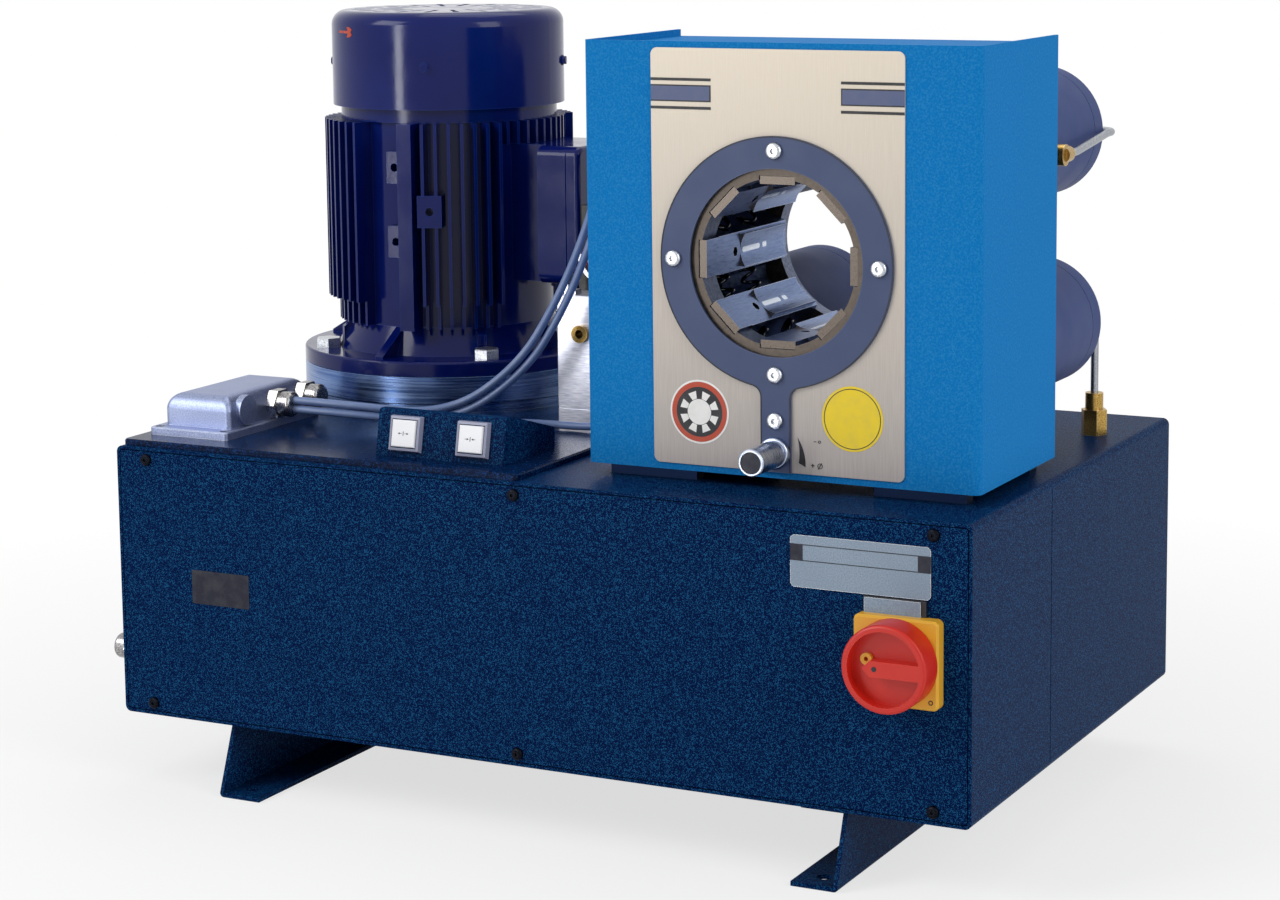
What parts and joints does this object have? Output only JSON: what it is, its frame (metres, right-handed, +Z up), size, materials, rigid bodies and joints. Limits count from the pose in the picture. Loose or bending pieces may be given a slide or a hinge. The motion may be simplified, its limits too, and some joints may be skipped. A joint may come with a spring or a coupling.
{
  "type": "hydraulic hose crimping machine",
  "caption": "Bench-top hose crimping machine: oil-tank cabinet, upright motor, crimping head with sliding dies in a tapered ring, push-button box and main switch.",
  "frame": {"origin": "on the floor at the centre of the four foot holes", "axes": "+X to the operator's right along the cabinet, +Y from the front to the back along the crimping bore, +Z up"},
  "size_m": [0.73, 0.4823, 0.596],
  "materials": {
    "hammer_enamel_dark": "dark blue-grey hammer-finish enamel",
    "plate_enamel_dark": "dark blue glossy enamel",
    "screw_black": "blackened steel",
    "tank_steel": "plain sheet steel",
    "gland_grey": "nickel-plated brass",
    "turned_aluminium": "turned aluminium",
    "motor_enamel": "glossy dark blue enamel",
    "fan_plastic": "moulded black plastic",
    "zinc_fasteners": "zinc-plated steel",
    "shaft_steel": "ground steel",
    "pump_iron": "bare cast iron",
    "valve_aluminium": "milled aluminium",
    "coil_black": "moulded black plastic",
    "gauge_case": "steel gauge case",
    "needle_black": "black paint",
    "brass": "plain brass",
    "button_white": "white moulded plastic",
    "box_aluminium": "die-cast aluminium",
    "head_enamel": "bright blue fine-texture enamel",
    "face_steel": "satin sheet steel",
    "mask_enamel": "dark slate-blue enamel",
    "press_steel": "machined steel",
    "rod_chrome": "hard-chromed steel",
    "barrel_enamel": "dark blue enamel",
    "tube_steel": "zinc-plated tube",
    "die_steel": "ground tool steel",
    "spring_steel": "blackened spring wire",
    "cable_grey": "grey cable jacket",
    "knob_chrome": "chromed steel",
    "switch_yellow": "yellow moulded plastic",
    "switch_red": "red moulded plastic"
  },
  "bodies": {
    "machine": {"cabinet_casing": "hammer_enamel_dark", "front_panel": "hammer_enamel_dark", "rear_panel": "hammer_enamel_dark", "button_box": "hammer_enamel_dark", "foot_rails": "hammer_enamel_dark", "tank_cover_plate": "plate_enamel_dark", "panel_screws": "screw_black", "oil_tank": "tank_steel", "mains_gland": "gland_grey", "cable_glands": "gland_grey", "pump_carrier": "turned_aluminium", "motor_flange": "motor_enamel", "motor_housing": "motor_enamel", "terminal_box": "motor_enamel", "fan_cover": "motor_enamel", "flange_bolts": "zinc_fasteners", "ring_screws": "zinc_fasteners", "gear_pump": "pump_iron", "valve_block": "valve_aluminium", "solenoid_valve": "coil_black", "pressure_gauge": "gauge_case", "brass_fittings": "brass", "junction_base": "box_aluminium", "junction_cover": "box_aluminium", "head_cover": "head_enamel", "head_top": "head_enamel", "face_plate": "face_steel", "bore_ring": "mask_enamel", "front_plate": "press_steel", "rear_plate": "press_steel", "tie_rods": "press_steel", "cylinder_barrels": "barrel_enamel", "pressure_pipes": "tube_steel", "cable_upper": "cable_grey", "cable_lower": "cable_grey", "cable_buttons": "cable_grey", "adjuster_collar": "knob_chrome", "switch_plate": "switch_yellow"},
    "press_ring": {"pressure_ring": "press_steel", "piston_rods": "rod_chrome"},
    "rotor": {"motor_shaft": "shaft_steel", "fan": "fan_plastic"},
    "needle": {"gauge_needle": "needle_black"},
    "open_button": {"open_button": "button_white"},
    "close_button": {"close_button": "button_white"},
    "adjuster_knob": {"adjuster_knob": "knob_chrome"},
    "adjuster_spindle": {"adjuster_spindle": "shaft_steel"},
    "switch_knob": {"switch_knob": "switch_red"},
    "die_1": {"die_1": "die_steel", "die_springs_1": "spring_steel"},
    "die_2": {"die_2": "die_steel"},
    "die_3": {"die_3": "die_steel", "die_springs_2": "spring_steel"},
    "die_4": {"die_4": "die_steel"},
    "die_5": {"die_5": "die_steel", "die_springs_3": "spring_steel"},
    "die_6": {"die_6": "die_steel"},
    "die_7": {"die_7": "die_steel", "die_springs_4": "spring_steel"},
    "die_8": {"die_8": "die_steel"}
  },
  "joints": [
    {"name": "ring_slide", "type": "slide", "parent": "machine", "child": "press_ring", "axis": [0, -1, 0], "range_m": [0, 0.045]},
    {"name": "motor_spin", "type": "hinge", "parent": "machine", "child": "rotor", "pos_m": [-0.227, 0.081, 0.43], "axis": [0, 0, 1], "continuous": true},
    {"name": "needle_turn", "type": "hinge", "parent": "machine", "child": "needle", "pos_m": [-0.028, -0.0155, 0.41], "axis": [0, 1, 0], "range_deg": [0, 270]},
    {"name": "open_press", "type": "slide", "parent": "machine", "child": "open_button", "axis": [0, 0.98, -0.1988], "range_m": [0, 0.003], "stiffness_N_per_m": 600, "springref_m": -0.002},
    {"name": "close_press", "type": "slide", "parent": "machine", "child": "close_button", "axis": [0, 0.98, -0.1988], "range_m": [0, 0.003], "stiffness_N_per_m": 600, "springref_m": -0.002},
    {"name": "adjuster_turn", "type": "hinge", "parent": "machine", "child": "adjuster_knob", "pos_m": [0.188, -0.195, 0.296], "axis": [0, 1, 0], "range_deg": [0, 1080]},
    {"name": "spindle_slide", "type": "slide", "parent": "machine", "child": "adjuster_spindle", "axis": [0, 1, 0], "range_m": [0, 0.00451]},
    {"name": "switch_turn", "type": "hinge", "parent": "machine", "child": "switch_knob", "pos_m": [0.303, -0.24, 0.1695], "axis": [0, 1, 0], "range_deg": [0, 90]},
    {"name": "die_1_slide", "type": "slide", "parent": "machine", "child": "die_1", "axis": [-1, 0, 0], "range_m": [0, 0.0201], "deforming": ["die_springs_1"]},
    {"name": "die_2_slide", "type": "slide", "parent": "machine", "child": "die_2", "axis": [-0.7071, 0, -0.7071], "range_m": [0, 0.0201]},
    {"name": "die_3_slide", "type": "slide", "parent": "machine", "child": "die_3", "axis": [0, 0, -1], "range_m": [0, 0.0201], "deforming": ["die_springs_2"]},
    {"name": "die_4_slide", "type": "slide", "parent": "machine", "child": "die_4", "axis": [0.7071, 0, -0.7071], "range_m": [0, 0.0201]},
    {"name": "die_5_slide", "type": "slide", "parent": "machine", "child": "die_5", "axis": [1, 0, 0], "range_m": [0, 0.0201], "deforming": ["die_springs_3"]},
    {"name": "die_6_slide", "type": "slide", "parent": "machine", "child": "die_6", "axis": [0.7071, 0, 0.7071], "range_m": [0, 0.0201]},
    {"name": "die_7_slide", "type": "slide", "parent": "machine", "child": "die_7", "axis": [0, 0, 1], "range_m": [0, 0.0201], "deforming": ["die_springs_4"]},
    {"name": "die_8_slide", "type": "slide", "parent": "machine", "child": "die_8", "axis": [-0.7071, 0, 0.7071], "range_m": [0, 0.0201]}
  ],
  "couplings": [
    {"joint": "spindle_slide", "follows": "adjuster_turn", "m_per_rad": 0.00023873},
    {"joint": "die_1_slide", "follows": "ring_slide", "ratio": 0.44523},
    {"joint": "die_2_slide", "follows": "ring_slide", "ratio": 0.44523},
    {"joint": "die_3_slide", "follows": "ring_slide", "ratio": 0.44523},
    {"joint": "die_4_slide", "follows": "ring_slide", "ratio": 0.44523},
    {"joint": "die_5_slide", "follows": "ring_slide", "ratio": 0.44523},
    {"joint": "die_6_slide", "follows": "ring_slide", "ratio": 0.44523},
    {"joint": "die_7_slide", "follows": "ring_slide", "ratio": 0.44523},
    {"joint": "die_8_slide", "follows": "ring_slide", "ratio": 0.44523}
  ]
}
